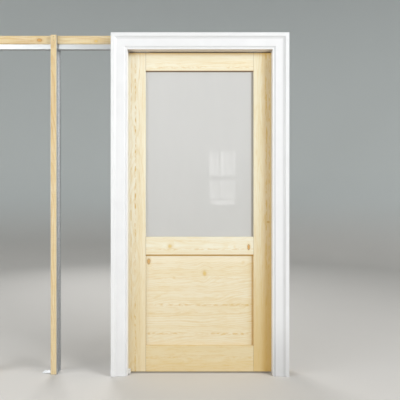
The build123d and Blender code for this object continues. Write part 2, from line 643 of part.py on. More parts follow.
with BuildPart() as head_jamb_front:
    with BuildSketch(Plane.XY.offset(SOFFIT)):
        with Locations((CX, -JAMB_Y)):
            Rectangle(2 * HALF_W, HALF_D - SPLIT)
    extrude(amount=JAMB)
    fillet(head_jamb_front.edges().filter_by(Axis.X).group_by(Axis.Z)[0], radius=1.5)
finish(head_jamb_front, "head_jamb_front")

with BuildPart() as head_jamb_rear:
    with BuildSketch(Plane.XY.offset(SOFFIT)):
        with Locations((CX, JAMB_Y)):
            Rectangle(2 * HALF_W, HALF_D - SPLIT)
    extrude(amount=JAMB)
    fillet(head_jamb_rear.edges().filter_by(Axis.X).group_by(Axis.Z)[0], radius=1.5)
    bore(soffit_screws, TRIM_SCREW, sunk=True)
finish(head_jamb_rear, "head_jamb_rear")

# ---------------------------------------------------------------- casing
# Section from the doorway outwards: rolled inner bead, ogee up to a broad flat field, cove up to the outer back band

with BuildSketch() as casing_profile:
    with BuildLine():
        Polyline((0, 0), (0, 5.0))
        ThreePointArc((0, 5.0), (3.4, 8.4), (6.8, 5.0))
        ThreePointArc((6.8, 5.0), (13.1, 6.1), (18.0, 9.9))
        Polyline((18.0, 9.9), (18.8, 10.2), (62.0, 10.8))
        ThreePointArc((62.0, 10.8), (71.1, 12.5), (78.5, 18.2))
        ThreePointArc((78.5, 18.2), (79.581, 18.794), (80.8, 19.0))
        Polyline((80.8, 19.0), (CASE_W - 2.5, 19.0))
        ThreePointArc((CASE_W - 2.5, 19.0), (CASE_W - 0.732, 18.268), (CASE_W, 16.5))
        Polyline((CASE_W, 16.5), (CASE_W, 0), (0, 0))
    make_face()

with BuildPart() as casing_front_strike:
    with BuildSketch(Plane(origin=(CX + CASE_IN, -HALF_D, 0), x_dir=(1, 0, 0), z_dir=(0, 0, -1))):
        add(casing_profile.sketch)
    extrude(amount=-TOP)
    with BuildSketch(Plane.XZ):
        with BuildLine():
            Polyline(
                (CX - CASE_IN, CASE_Z), (CX + CASE_IN, CASE_Z), (CX + CASE_OUT + 5, TOP + 5), (CX - CASE_OUT - 5, TOP + 5),
                close=True
            )
        make_face()
    extrude(amount=100.0, both=True, mode=Mode.SUBTRACT)
finish(casing_front_strike, "casing_front_strike")

with BuildPart() as casing_front_pocket:
    mirror(casing_front_strike.part, about=Plane.YZ.offset(CX))
finish(casing_front_pocket, "casing_front_pocket")

with BuildPart() as casing_front_head:
    with BuildSketch(Plane(origin=(CX - CASE_OUT, -HALF_D, CASE_Z), x_dir=(0, 0, 1), z_dir=(1, 0, 0))):
        add(casing_profile.sketch)
    extrude(amount=2 * CASE_OUT)
    for s in (-1, 1):
        with BuildSketch(Plane.XZ):
            with BuildLine():
                Polyline(
                    (CX + s * CASE_IN, CASE_Z - 5), (CX + s * CASE_IN, CASE_Z), (CX + s * (CASE_OUT + 5), TOP + 5),
                    (CX + s * (CASE_OUT + 5), CASE_Z - 5), close=True
                )
            make_face()
        extrude(amount=100.0, both=True, mode=Mode.SUBTRACT)
finish(casing_front_head, "casing_front_head")

with BuildPart() as casing_rear_strike:
    mirror(casing_front_strike.part, about=Plane.XZ)
finish(casing_rear_strike, "casing_rear_strike")

with BuildPart() as casing_rear_pocket:
    mirror(casing_front_pocket.part, about=Plane.XZ)
finish(casing_rear_pocket, "casing_rear_pocket")

with BuildPart() as casing_rear_head:
    mirror(casing_front_head.part, about=Plane.XZ)
finish(casing_rear_head, "casing_rear_head")

# ---------------------------------------------------------------- door guides, bumper and their screws

with BuildPart() as door_guide_front:
    with BuildSketch(Plane.XY.offset(6.0)):
        with Locations((CX - HALF_W + 7.5, -30.0)):
            Rectangle(15.0, 22.0)
    extrude(amount=26.0)
    chamfer(door_guide_front.edges().filter_by(Axis.Z).group_by(Axis.X)[-1].sort_by(Axis.Y)[-1], length=3.0)
    fillet(door_guide_front.edges().filter_by(Axis.Y).group_by(Axis.Z)[-1].sort_by(Axis.X)[-1], radius=2.0)
    bore(guide_screws[:1], TRIM_SCREW, sunk=True)
finish(door_guide_front, "door_guide_front")

with BuildPart() as door_guide_rear:
    mirror(door_guide_front.part, about=Plane.XZ)
finish(door_guide_rear, "door_guide_rear")

with BuildPart() as door_bumper:
    with BuildSketch(Plane(origin=(CX + POCKET_X, 0, 1000.0), x_dir=(0, 1, 0), z_dir=(1, 0, 0))):
        RectangleRounded(30.0, 30.0, 5.0)
    extrude(amount=54.0)
    fillet(door_bumper.faces().sort_by(Axis.X)[-1].edges(), radius=3.0)
    with Locations(*planes([(-1320.0, 0.0, 1000.0, (-1, 0, 0))])):
        CounterBoreHole(TRIM_SCREW[0] + FIT, TRIM_SCREW[1] + 0.5, counter_bore_depth=34.0, depth=54.0)
    bore(bumper_screws, TRIM_SCREW, sunk=True)
finish(door_bumper, "door_bumper")

with BuildPart() as trim_screws:
    wood_screws(guide_screws + soffit_screws + bumper_screws, TRIM_SCREW)
finish(trim_screws, "trim_screws")
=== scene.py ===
import math

import bmesh
import bpy
from mathutils import Matrix, Vector


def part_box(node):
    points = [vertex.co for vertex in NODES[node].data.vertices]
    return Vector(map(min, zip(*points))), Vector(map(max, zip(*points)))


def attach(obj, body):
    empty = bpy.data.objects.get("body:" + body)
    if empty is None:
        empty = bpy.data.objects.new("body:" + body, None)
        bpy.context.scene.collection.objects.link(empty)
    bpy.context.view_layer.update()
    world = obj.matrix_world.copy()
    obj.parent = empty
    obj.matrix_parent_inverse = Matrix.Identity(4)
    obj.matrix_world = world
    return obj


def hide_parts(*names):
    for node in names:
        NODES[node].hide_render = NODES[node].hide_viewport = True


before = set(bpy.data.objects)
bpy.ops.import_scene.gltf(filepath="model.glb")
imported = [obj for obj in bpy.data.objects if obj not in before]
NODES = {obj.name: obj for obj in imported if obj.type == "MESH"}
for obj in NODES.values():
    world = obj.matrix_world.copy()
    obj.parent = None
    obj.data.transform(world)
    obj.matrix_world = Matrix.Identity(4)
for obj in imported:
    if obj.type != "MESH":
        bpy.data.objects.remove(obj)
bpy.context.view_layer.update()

CX = 0.4272                     # middle of the doorway, in metres
FACE = -0.0175                  # front face of the leaf

# ------------------------------------------------------------------ node helpers


class Graph:
    """A material's node tree, with short calls for the nodes used below."""

    def __init__(self, name):
        self.mat = bpy.data.materials.new(name)
        self.mat.use_nodes = True
        self.nt = self.mat.node_tree
        self.nt.nodes.clear()
        self.out = self.nt.nodes.new("ShaderNodeOutputMaterial")
        self.bsdf = self.nt.nodes.new("ShaderNodeBsdfPrincipled")
        self.nt.links.new(self.bsdf.outputs[0], self.out.inputs[0])
        tc = self.nt.nodes.new("ShaderNodeTexCoord")
        self.pos = tc.outputs["Object"]
        sep = self.nt.nodes.new("ShaderNodeSeparateXYZ")
        self.nt.links.new(self.pos, sep.inputs[0])
        self.x, self.y, self.z = sep.outputs

    def put(self, socket, value):
        if hasattr(value, "is_output"):
            self.nt.links.new(value, socket)
        elif value is not None:
            socket.default_value = (*value, 1.0) if isinstance(value, tuple) else value

    def m(self, op, a, b=None, c=None, clamp=False):
        n = self.nt.nodes.new("ShaderNodeMath")
        n.operation = op
        n.use_clamp = clamp
        for s, v in zip(n.inputs, (a, b, c)):
            self.put(s, v)
        return n.outputs[0]

    def add(self, a, b):
        return self.m("ADD", a, b)

    def sub(self, a, b):
        return self.m("SUBTRACT", a, b)

    def mul(self, a, b):
        return self.m("MULTIPLY", a, b)

    def step(self, value, lo, hi):
        """0 below lo, 1 above hi, smooth between."""
        n = self.nt.nodes.new("ShaderNodeMapRange")
        n.interpolation_type = "SMOOTHSTEP"
        n.clamp = True
        self.put(n.inputs[0], value)
        n.inputs[1].default_value, n.inputs[2].default_value = (lo, hi) if lo < hi else (hi, lo)
        n.inputs[3].default_value, n.inputs[4].default_value = (0, 1) if lo < hi else (1, 0)
        return n.outputs[0]

    def vec(self, x, y, z):
        n = self.nt.nodes.new("ShaderNodeCombineXYZ")
        for s, v in zip(n.inputs, (x, y, z)):
            self.put(s, v)
        return n.outputs[0]

    def noise(self, vec, scale=1.0, detail=2.0, rough=0.5, distortion=0.0):
        n = self.nt.nodes.new("ShaderNodeTexNoise")
        n.noise_dimensions = "3D"
        self.put(n.inputs["Vector"], vec)
        n.inputs["Scale"].default_value = scale
        n.inputs["Detail"].default_value = detail
        n.inputs["Roughness"].default_value = rough
        n.inputs["Distortion"].default_value = distortion
        return n.outputs[0]

    def white(self, value):
        n = self.nt.nodes.new("ShaderNodeTexWhiteNoise")
        n.noise_dimensions = "1D"
        self.put(n.inputs["W"], value)
        return n.outputs[0]

    def mix(self, fac, a, b, blend="MIX"):
        n = self.nt.nodes.new("ShaderNodeMix")
        n.data_type = "RGBA"
        n.blend_type = blend
        n.clamp_factor = True
        self.put(n.inputs[0], fac)
        for i, v in ((6, a), (7, b)):
            self.put(n.inputs[i], v)
        return n.outputs[2]

    def rounded(self, radius):
        """Shading normal with every sharp edge rounded over."""
        n = self.nt.nodes.new("ShaderNodeBevel")
        n.samples = 6
        n.inputs["Radius"].default_value = radius
        return n.outputs[0]

    def bump(self, height, strength, distance, after=None):
        n = self.nt.nodes.new("ShaderNodeBump")
        n.inputs["Strength"].default_value = strength
        n.inputs["Distance"].default_value = distance
        self.put(n.inputs["Height"], height)
        if after is not None:
            self.put(n.inputs["Normal"], after)
        return n.outputs[0]

    def color(self, value):
        self.put(self.bsdf.inputs["Base Color"], value)

    def set(self, **values):
        for k, v in values.items():
            self.put(self.bsdf.inputs[k.replace("_", " ")], v)


def srgb(r, g, b):
    """Linear colour of an 8-bit display colour."""
    return tuple(((c / 255) / 12.92 if c <= 10 else ((c / 255 + 0.055) / 1.055) ** 2.4) for c in (r, g, b))


# ------------------------------------------------------------------ pine

CREAM = srgb(240, 232, 206)
GOLD = srgb(228, 202, 138)
AMBER = srgb(220, 182, 92)
KNOT = srgb(158, 98, 40)
PALE = srgb(243, 237, 216)
# warm brown used for painted shade on the wood, such as the shadow cast by the strike casing and jamb
PAINTED_SHADE_WARM = srgb(202, 158, 62)
FLAME = srgb(224, 192, 118)
KNOT_CORE = srgb(212, 154, 64)
KNOT_PALE = srgb(226, 194, 112)
SHADE = srgb(120, 84, 42)
# painted shade on the leaf's top under the head jamb, and a darker painted shade in the gap above the leaf
TOP_EDGE_SHADE = ("Z", 2.002, 2.042, 0.62, srgb(214, 166, 52))
GAP_SHADE = ("Z", 2.0385, 2.0400, 0.80, SHADE)


def pine(
    name, axis, mid, seed, pith=(0.02, 0.07), tilt=(0.01, 0.02), ring=0.0052, contrast=0.34, knots=(), streaks=(), joints=(),
    boards=None, early=CREAM, late=GOLD, figure=0.3, tone=0.0, floor_bounce=0.0, rough=0.55, sawn=0.0, shade_bands=(), pale=(), arris=None,
):
    """Flat-sawn pine: growth rings round a pith line that leans through the board, knots that push the rings aside,
    amber streaks, fibre and pores. axis is the way the grain runs, mid the middle of the member's width in metres."""
    g = Graph(name)
    u, across = (g.z, g.x) if axis == "Z" else (g.x, g.z)
    v = g.sub(across, mid)
    w = g.y
    off = seed * 7.31
    if boards:
        # boards glued edge to edge, each from another log
        index = g.m("FLOOR", g.m("DIVIDE", g.sub(across, boards[0]), boards[1]))
        pick = g.white(g.add(index, seed * 3.7))
        v = g.add(g.sub(g.sub(across, boards[0]), g.mul(g.add(index, 0.5), boards[1])), g.mul(g.sub(pick, 0.5), 0.05))
        shift = g.mul(pick, 9.0)
    else:
        shift = 0.0
    uu = g.add(u, shift)
    flow_v = v
    knot_core = knot_rim = knot_glow = knot_red = None
    for ku, kv, ru, rv, dark in knots:
        du, dv = g.m("DIVIDE", g.sub(u, ku), ru), g.m("DIVIDE", g.sub(across, kv), rv)
        uneven = g.mul(g.sub(g.noise(g.vec(g.mul(u, 60), g.mul(across, 60), off + ku), 1, 2), 0.5), 0.5)
        d = g.add(g.m("SQRT", g.add(g.mul(du, du), g.mul(dv, dv))), uneven)
        pull = g.m("EXPONENT", g.mul(g.m("MULTIPLY_ADD", g.mul(du, du), 0.16, g.mul(g.mul(dv, dv), 0.10)), -1.0))
        flow_v = g.sub(flow_v, g.mul(g.mul(g.sub(across, kv), pull), 0.8))
        core = g.mul(g.step(d, 1.15, 0.35), dark if dark > 0.6 else min(1.0, dark * 1.6))
        rim = g.mul(g.mul(g.step(d, 0.55, 0.85), g.step(d, 1.25, 0.95)), min(1.0, dark * 1.2) if dark > 0.6 else dark * 0.22)
        red = g.step(d, 1.1, 0.5) if dark > 0.6 else 0.0
        glow = g.mul(g.step(d, 2.6, 0.7), min(0.55, dark * 0.7))
        knot_core = core if knot_core is None else g.m("MAXIMUM", knot_core, core)
        knot_rim = rim if knot_rim is None else g.m("MAXIMUM", knot_rim, rim)
        knot_glow = glow if knot_glow is None else g.m("MAXIMUM", knot_glow, glow)
        knot_red = red if knot_red is None else g.m("MAXIMUM", knot_red, red)
    slow = g.noise(g.vec(g.mul(uu, 1.1), g.add(g.mul(v, 2.5), off), g.mul(w, 2.5)), 1, 2)
    slow2 = g.noise(g.vec(g.mul(uu, 1.3), g.add(g.mul(v, 2.5), off + 20), g.mul(w, 2.5)), 1, 2)
    small = g.noise(g.vec(g.mul(uu, 8), g.add(g.mul(flow_v, 40), off + 40), g.mul(w, 40)), 1, 3, 0.55)
    rv_ = g.add(g.sub(g.sub(flow_v, pith[0]), g.mul(uu, tilt[0])), g.mul(g.sub(slow, 0.5), 0.06))
    rw_ = g.add(g.sub(g.sub(w, pith[1]), g.mul(uu, tilt[1])), g.mul(g.sub(slow2, 0.5), 0.09))
    r = g.add(g.m("SQRT", g.add(g.mul(rv_, rv_), g.mul(rw_, rw_))), g.mul(g.sub(small, 0.5), 0.004))
    phase = g.m("DIVIDE", r, ring)
    t = g.m("FRACT", phase)
    each = g.white(g.add(g.m("FLOOR", phase), seed))
    wood = g.mul(g.mul(g.step(t, 0.25, 0.9), g.step(t, 1.0, 0.93)), g.m("MULTIPLY_ADD", each, 0.8, 0.45))
    fibre = g.noise(g.vec(g.mul(uu, 9), g.mul(v, 700), g.mul(w, 700)), 1, 3, 0.6)
    fleck = g.noise(g.vec(g.mul(uu, 45), g.mul(v, 420), g.add(g.mul(w, 420), off)), 1, 2, 0.5)
    broad = g.noise(g.vec(g.mul(uu, 0.9), g.add(g.mul(v, 16), off + 60), g.mul(w, 16)), 1, 3, 0.55)
    col = g.mix(g.mul(wood, contrast), early, late)
    col = g.mix(g.mul(g.step(broad, 0.42, 0.74), 0.34), col, late)
    if boards:
        col = g.mix(g.mul(pick, 0.12), col, late)
    # short flames of late wood and pale sap, drawn out along the grain
    flame = g.noise(g.vec(g.mul(uu, 11), g.add(g.mul(flow_v, 70), off + 80), g.mul(w, 70)), 1, 3, 0.6)
    sap = g.noise(g.vec(g.mul(uu, 8), g.add(g.mul(flow_v, 85), off + 120), g.mul(w, 85)), 1, 2, 0.5)
    col = g.mix(g.mul(g.step(flame, 0.47, 0.68), figure), col, FLAME)
    col = g.mix(g.mul(g.step(sap, 0.50, 0.70), figure * 0.8), col, srgb(247, 240, 218))
    for v0, width, strength, freq in streaks:
        wobble = g.mul(g.sub(g.noise(g.vec(g.mul(u, 2.4), off + v0 * 90, 0.0), 1, 2), 0.5), 0.012)
        e = g.m("DIVIDE", g.add(g.sub(across, v0), wobble), width)
        line = g.m("EXPONENT", g.mul(g.mul(e, e), -1.0))
        dash = g.step(g.noise(g.vec(g.mul(u, freq * 1.8), g.mul(across, 120), off + v0 * 50), 1, 2, 0.5), 0.42, 0.60)
        gate = g.step(g.noise(g.vec(g.mul(u, freq * 0.3), off + v0 * 31, 3.0), 1, 1), 0.32, 0.54)
        col = g.mix(g.mul(g.mul(g.mul(line, dash), gate), strength), col, AMBER)
    for kind, start, end, strength in pale:
        # paler colour towards one edge of the member: beside the panel's left stile a painted light that lifts the
        # shade of the recess, and a paler band at the panel's top
        col = g.mix(g.mul(g.step(g.x if kind == "X" else g.z, start, end), strength), col, srgb(250, 243, 222))
    if knot_core is not None:
        col = g.mix(g.mul(knot_glow, 0.8), col, late)
        col = g.mix(knot_core, col, g.mix(knot_red, KNOT_PALE, KNOT_CORE))
        col = g.mix(g.mul(knot_rim, 0.62), col, KNOT)
    col = g.mix(g.mul(g.step(fibre, 0.30, 0.75), 0.10), col, srgb(250, 240, 214))
    col = g.mix(g.mul(g.step(fleck, 0.60, 0.80), 0.16), col, AMBER)
    if tone:
        col = g.mix(tone, col, late)
    # painted warm bounce from the floor, with painted shade: warmer and darker towards the foot
    if floor_bounce:
        col = g.mix(g.mul(g.step(g.z, 1.3, 0.0), floor_bounce), col, srgb(218, 186, 118))
    if sawn:
        saw = g.noise(g.vec(g.mul(uu, 260), g.mul(v, 8), g.mul(w, 8)), 1, 2, 0.5)
        col = g.mix(g.mul(g.step(saw, 0.45, 0.75), sawn), col, srgb(170, 140, 100))
    for kind, start, end, strength, *rest in shade_bands:
        # painted shade towards one edge of the member: shadows cast by the casing, jambs and rails, shade in recesses
        # and gaps, and warm bounce near the floor
        near = g.step(g.x if kind == "X" else g.z, start, end)
        col = g.mix(g.mul(g.mul(near, near), strength), col, rest[0] if rest else PAINTED_SHADE_WARM)
    # dark lines along the joints: a glue line, and painted shade in the seams and in the gap beside the panel
    for kind, at, half, strength in joints:
        near = g.step(g.m("ABSOLUTE", g.sub(g.x if kind == "X" else g.z, at)), half, half * 0.2)
        col = g.mix(g.mul(near, strength), col, srgb(132, 98, 54))
    g.color(col)
    height = g.add(g.mul(fibre, 0.5), g.mul(g.mul(wood, -1.0), 0.35))
    g.set(Roughness=g.m("MULTIPLY_ADD", fibre, 0.16, rough - 0.08), Normal=g.bump(height, 0.35, 0.0004 + 0.0006 * sawn, g.rounded(arris) if arris else None))
    g.bsdf.inputs["Specular IOR Level"].default_value = 0.35
    return g.mat


def wx(px, face=FACE):
    """Row X, in metres, of a column of the photograph on a plane y = face."""
    return CX + (px - 200.0) * (2.808 + face - FACE) / 440.7


def wz(py, face=FACE):
    return 1.135 + (194.95 - py) * (2.808 + face - FACE) / 440.7


J0, J1 = CX - 0.3465, CX + 0.3415       # joints between the stiles and the rails
PF = -0.006                             # front of the lower panel

stile_left = pine(
    "pine_stile_trail", "Z", CX - 0.4025, 1.0, pith=(-0.03, 0.05), tilt=(0.012, 0.016), contrast=0.26,
    streaks=((wx(135.2), 0.0050, 1.0, 16), (wx(131.2), 0.0035, 0.6, 12), (wx(139.5), 0.004, 0.25, 9)), figure=0.22, early=srgb(248, 241, 220),
    # painted warm bounce towards the floor; painted shade under the head jamb and in the gap above the leaf
    floor_bounce=0.42, shade_bands=(TOP_EDGE_SHADE, GAP_SHADE),
)
stile_right = pine(
    "pine_stile_lead", "Z", CX + 0.3975, 2.3, pith=(0.035, 0.05), tilt=(-0.01, 0.02), contrast=0.32, figure=0.28,
    knots=((wz(222.0), wx(268.4), 0.0050, 0.0085, 0.75), (wz(98.0), wx(265.3), 0.008, 0.006, 0.25)),
    # painted shadow of the strike casing and jamb across the stile's outer part; painted shade under the head jamb
    shade_bands=(("X", wx(257.5), wx(265.5), 0.34, srgb(214, 160, 30)), ("X", wx(268.5), wx(271.4), 0.30), TOP_EDGE_SHADE, GAP_SHADE),
    streaks=((wx(266.3), 0.0055, 0.8, 14), (wx(269.2), 0.004, 0.7, 18), (wx(262.6), 0.003, 0.25, 9)),
    # painted warm bounce and shade towards the floor
    floor_bounce=0.80,
)
top_rail = pine(
    "pine_top_rail", "X", 1.984, 3.1, pith=(-0.02, 0.045), tilt=(0.02, -0.03), contrast=0.22, figure=0.16,
    # painted shade under the head jamb and along the rail's lower edge over the pane
    streaks=((wz(67.4), 0.006, 0.55, 22), (wz(63.2), 0.004, 0.2, 14)), early=PALE, shade_bands=(TOP_EDGE_SHADE, GAP_SHADE, ("Z", 1.9520, 1.9300, 0.15, srgb(224, 188, 96)), ("Z", 1.9280, 1.9260, 0.9, srgb(168, 110, 14))),
    joints=(("X", J0, 0.0030, 0.80), ("X", J1, 0.0030, 0.50)),
)
mid_rail = pine(
    "pine_mid_rail", "X", 0.811, 4.6, pith=(0.015, 0.05), tilt=(-0.02, 0.03), contrast=0.18, figure=0.16,
    knots=((wx(169.9), wz(246.3), 0.0140, 0.0150, 0.48), (wx(248.7), wz(247.1), 0.0085, 0.0170, 0.95), (wx(234.6), wz(246.8), 0.008, 0.011, 0.16)),
    streaks=((wz(249.2), 0.006, 0.5, 20), (wz(241.0), 0.004, 0.25, 12)),
    joints=(("X", J0, 0.0030, 0.80), ("X", J1, 0.0030, 0.50)), early=PALE,
    # painted shade towards the rail's lower edge
    shade_bands=(("Z", 0.7920, 0.7720, 0.14, srgb(224, 188, 96)), ("Z", 0.7590, 0.7555, 0.45, srgb(206, 158, 70))),
)
bottom_rail = pine(
    "pine_bottom_rail", "X", 0.093, 5.2, pith=(-0.03, 0.05), tilt=(0.03, 0.02), contrast=0.28, figure=0.40,
    knots=((wx(173.0), wz(354.0), 0.020, 0.010, 0.12),),
    streaks=((wz(347.5), 0.006, 0.20, 20), (wz(357.5), 0.008, 0.4, 22)),
    # painted warm bounce and shade towards the floor, and a painted shade line at the rail's top edge
    joints=(("X", J0, 0.0030, 0.80), ("X", J1, 0.0030, 0.50)), floor_bounce=0.42, shade_bands=(("Z", 0.10, 0.01, 0.20, srgb(214, 178, 104)), ("Z", 0.1740, 0.1755, 0.32, srgb(200, 158, 84))),
)
panel = pine(
    "pine_panel", "X", 0.465, 6.4, pith=(0.0, 0.05), tilt=(0.02, 0.03), contrast=0.32, boards=(0.144, 0.118), figure=0.28, early=srgb(246, 240, 221),
    knots=(
        (wx(148.8, PF), wz(261.4, PF), 0.0105, 0.0170, 0.85), (wx(204.6, PF), wz(273.4, PF), 0.0130, 0.0185, 0.54),
        (wx(174.0, PF), wz(277.5, PF), 0.008, 0.009, 0.14), (wx(243.0, PF), wz(262.0, PF), 0.012, 0.010, 0.15),
        (wx(242.5, PF), wz(306.0, PF), 0.022, 0.012, 0.13),
    ),
    streaks=(
        (wz(262.0, PF), 0.006, 0.12, 18), (wz(278.5, PF), 0.006, 0.30, 12), (wz(305.0, PF), 0.008, 0.75, 20),
        (wz(313.0, PF), 0.006, 0.35, 12), (wz(333.6, PF), 0.008, 0.75, 20), (wz(321.0, PF), 0.005, 0.25, 14),
    ),
    # painted warm bounce towards the floor, painted light beside the left stile, and a paler band at the panel's top
    joints=(("X", J0 + 0.0006, 0.0026, 0.75),), floor_bounce=0.26, pale=(("Z", 0.698, 0.710, 0.45), ("X", J0 + 0.024, J0 + 0.006, 0.45)),
    shade_bands=(
        # painted shadow of the mid rail along the panel's top and of the right stile along its right edge
        ("Z", 0.7420, 0.7470, 0.9, srgb(208, 158, 42)), ("X", J1 - 0.060, J1 - 0.014, 0.22, srgb(216, 176, 84)),
        ("X", J1 - 0.0162, J1 - 0.0102, 0.44, srgb(206, 148, 34)),
    ),
)
bead_cross = pine("pine_bead_cross", "X", 1.4, 7.7, contrast=0.25)
bead_upright = pine("pine_bead_upright", "Z", CX, 8.8, contrast=0.25)
dowel = pine("beech_dowel", "X", 0.5, 9.9, early=srgb(226, 202, 164), late=srgb(206, 172, 122), contrast=0.2)
STUD_EARLY, STUD_LATE = srgb(226, 206, 164), srgb(196, 156, 98)
stud_upright = pine(
    "stud_upright", "Z", CX - 0.9, 11.2, pith=(0.0, 0.03), early=STUD_EARLY, late=STUD_LATE, contrast=0.5, rough=0.7, sawn=0.12, boards=(-0.4, 0.31),
    arris=0.0015,
)
stud_level = pine(
    "stud_level", "X", 2.12, 12.4, pith=(0.0, 0.02), early=STUD_EARLY, late=STUD_LATE, contrast=0.5, rough=0.7, sawn=0.12, arris=0.0015,
    knots=((CX - 1.02, 2.118, 0.016, 0.010, 0.8), (CX - 0.66, 2.112, 0.012, 0.008, 0.6)),
)

# ------------------------------------------------------------------ paint, glass, metal, plastic, rubber


def paint(name, base, brush="Z", hollows=None, inner=None, bead=None, low=0.0):
    """Semi-gloss white paint laid on wood: faint brush lines along the member, and a slightly uneven film.
    hollows: where a moulding starts across the member; its groove and its cove then get a painted shade.
    inner: the film's colour towards the back of the member; towards the front the colour goes over to base, and the
    member's ends get a darker painted corner shade. bead: a brighter colour on the moulding's inner bead, a painted
    highlight.
    low: how much darker the film gets towards the member's foot, a painted shade."""
    g = Graph(name)
    along, across = (g.z, g.x) if brush == "Z" else (g.x, g.z)
    lines = g.noise(g.vec(g.mul(along, 3.0), g.mul(across, 700), g.mul(g.y, 700)), 1, 2, 0.6)
    film = g.noise(g.pos, 9.0, 3, 0.5)
    tint = g.mix(g.step(film, 0.35, 0.7), base, tuple(c * 0.975 for c in base))
    tint = g.mix(g.mul(g.step(lines, 0.4, 0.8), 0.05), tint, tuple(c * 0.9 for c in base))
    if hollows is not None:
        at = g.sub(across, hollows)
        groove = g.mul(g.step(at, 0.0060, 0.0078), g.step(at, 0.0200, 0.0165))
        cove = g.mul(g.step(at, 0.0600, 0.0640), g.step(at, 0.0810, 0.0780))
        # the groove and the cove get a painted shade
        tint = g.mix(g.m("MAXIMUM", groove, cove), tint, tuple(c * 0.90 for c in base))
        if bead is not None:
            # painted highlight on the inner bead
            tint = g.mix(g.step(at, 0.0062, 0.0050), tint, bead)
    if inner is not None:
        # towards the front the colour goes over to base, which for the soffit is a painted shade; paler further back
        tint = g.mix(g.step(g.y, -0.052, -0.026), tint, inner)
        # painted shade in the corners at both ends of the member
        tint = g.mix(g.mul(g.step(g.m("ABSOLUTE", g.sub(g.x, CX)), 0.405, 0.450), 0.7), tint, tuple(c * 0.45 for c in base))
    if low:
        # painted shade, darker towards the member's foot
        tint = g.mix(g.mul(g.step(g.z, 0.42, 0.02), low), tint, tuple(c * 0.5 for c in base))
    g.color(tint)
    g.set(Roughness=g.m("MULTIPLY_ADD", film, 0.10, 0.30), Normal=g.bump(g.add(g.mul(lines, 0.6), g.mul(film, 0.4)), 0.12, 0.0003))
    return g.mat


WHITE = (0.888, 0.890, 0.900)
# low: a painted shade towards the foot; hollows: painted shade in the groove and cove; bead: a painted highlight on the
# head casing's bead
paint_up = paint("white_paint_upright", WHITE, "Z", low=0.13)
paint_level = paint("white_paint_level", WHITE, "X", hollows=2.049, bead=(0.95, 0.95, 0.96))
paint_strike = paint("white_paint_strike_casing", WHITE, "Z", hollows=CX + 0.456, low=0.42)
# the soffit's brown base is painted shade on white paint; further back it goes over to a pale warm colour, painted warm
# bounce from the leaf
paint_soffit = paint("white_paint_soffit_painted_shade", (0.71, 0.61, 0.52), "X", inner=(0.95, 0.91, 0.84))

g = Graph("obscured_glass")
seeds = g.noise(g.pos, 160.0, 2, 0.5)
ripple = g.noise(g.vec(g.mul(g.x, 9.0), g.y, g.mul(g.z, 3.0)), 1.0, 2, 0.5)
# rim: painted shadow of the right stile and the top rail on the pane, tinted brown as a painted reflection of the wood
rim = g.m("MAXIMUM", g.mul(g.step(g.x, J1 - 0.0180, J1 - 0.0130), 0.34), g.mul(g.step(g.z, 1.9155, 1.9245), 0.74))
# the pane's grey, darker towards the bottom as a painted shade
grey = g.mix(g.mul(g.step(g.z, 1.55, 0.87), 0.35), g.mix(g.step(ripple, 0.3, 0.75), srgb(220, 219, 217), srgb(218, 217, 215)), srgb(207, 206, 202))
g.color(g.mix(rim, grey, srgb(122, 92, 32)))
g.set(Roughness=g.m("MULTIPLY_ADD", seeds, 0.12, 0.42), Normal=g.bump(seeds, 0.05, 0.0002))
g.bsdf.inputs["Coat Weight"].default_value = 1.0
g.bsdf.inputs["Coat Roughness"].default_value = 0.03
g.bsdf.inputs["Coat IOR"].default_value = 1.5
g.bsdf.inputs["Transmission Weight"].default_value = 0.12
glass = g.mat


def metal(name, base, rough, brushed="X", spangle=0.0, bump=0.1):
    g = Graph(name)
    along, across = (g.x, g.z) if brushed == "X" else (g.z, g.x)
    lines = g.noise(g.vec(g.mul(along, 18), g.mul(across, 1600), g.mul(g.y, 1600)), 1, 2, 0.6)
    cells = g.nt.nodes.new("ShaderNodeTexVoronoi")
    g.put(cells.inputs["Vector"], g.pos)
    cells.inputs["Scale"].default_value = 130.0
    flake = g.white(g.m("MULTIPLY", cells.outputs["Distance"], 3.0)) if spangle else g.noise(g.pos, 60, 2)
    tone = g.mix(g.mul(g.step(lines, 0.3, 0.8), 0.25), base, tuple(c * 0.78 for c in base))
    if spangle:
        shade = g.noise(g.pos, 130.0, 1, 0.3)
        tone = g.mix(g.mul(g.step(shade, 0.35, 0.65), spangle), tone, tuple(min(1.0, c * 1.25) for c in base))
    g.color(tone)
    g.bsdf.inputs["Metallic"].default_value = 1.0
    g.set(Roughness=g.m("MULTIPLY_ADD", lines, 0.15, rough), Normal=g.bump(lines, bump, 0.0002))
    return g.mat


galvanised = metal("galvanised_steel", (0.56, 0.57, 0.58), 0.38, "Z", spangle=0.5)
zinc = metal("zinc_casting", (0.50, 0.50, 0.51), 0.42, "X", spangle=0.2)
aluminium = metal("mill_aluminium", (0.80, 0.81, 0.82), 0.30, "X")
yellow_zinc = metal("yellow_zinc", (0.62, 0.52, 0.30), 0.32, "X")
bright_steel = metal("bright_steel", (0.60, 0.60, 0.61), 0.25, "Z")


def plastic(name, base, rough, grain=220.0, strength=0.06):
    g = Graph(name)
    fine = g.noise(g.pos, grain, 3, 0.55)
    broad = g.noise(g.pos, 25.0, 2, 0.5)
    g.color(g.mix(g.mul(g.step(broad, 0.35, 0.7), 0.5), base, tuple(c * 0.93 for c in base)))
    g.set(Roughness=g.m("MULTIPLY_ADD", fine, 0.12, rough), Normal=g.bump(fine, strength, 0.0002))
    return g.mat


nylon = plastic("white_nylon", (0.82, 0.81, 0.77), 0.38)
rubber = plastic("black_rubber", (0.028, 0.028, 0.030), 0.62, 320.0, 0.2)
foam = plastic("glazing_tape", (0.10, 0.10, 0.10), 0.75, 500.0, 0.35)

# ------------------------------------------------------------------ which node takes which

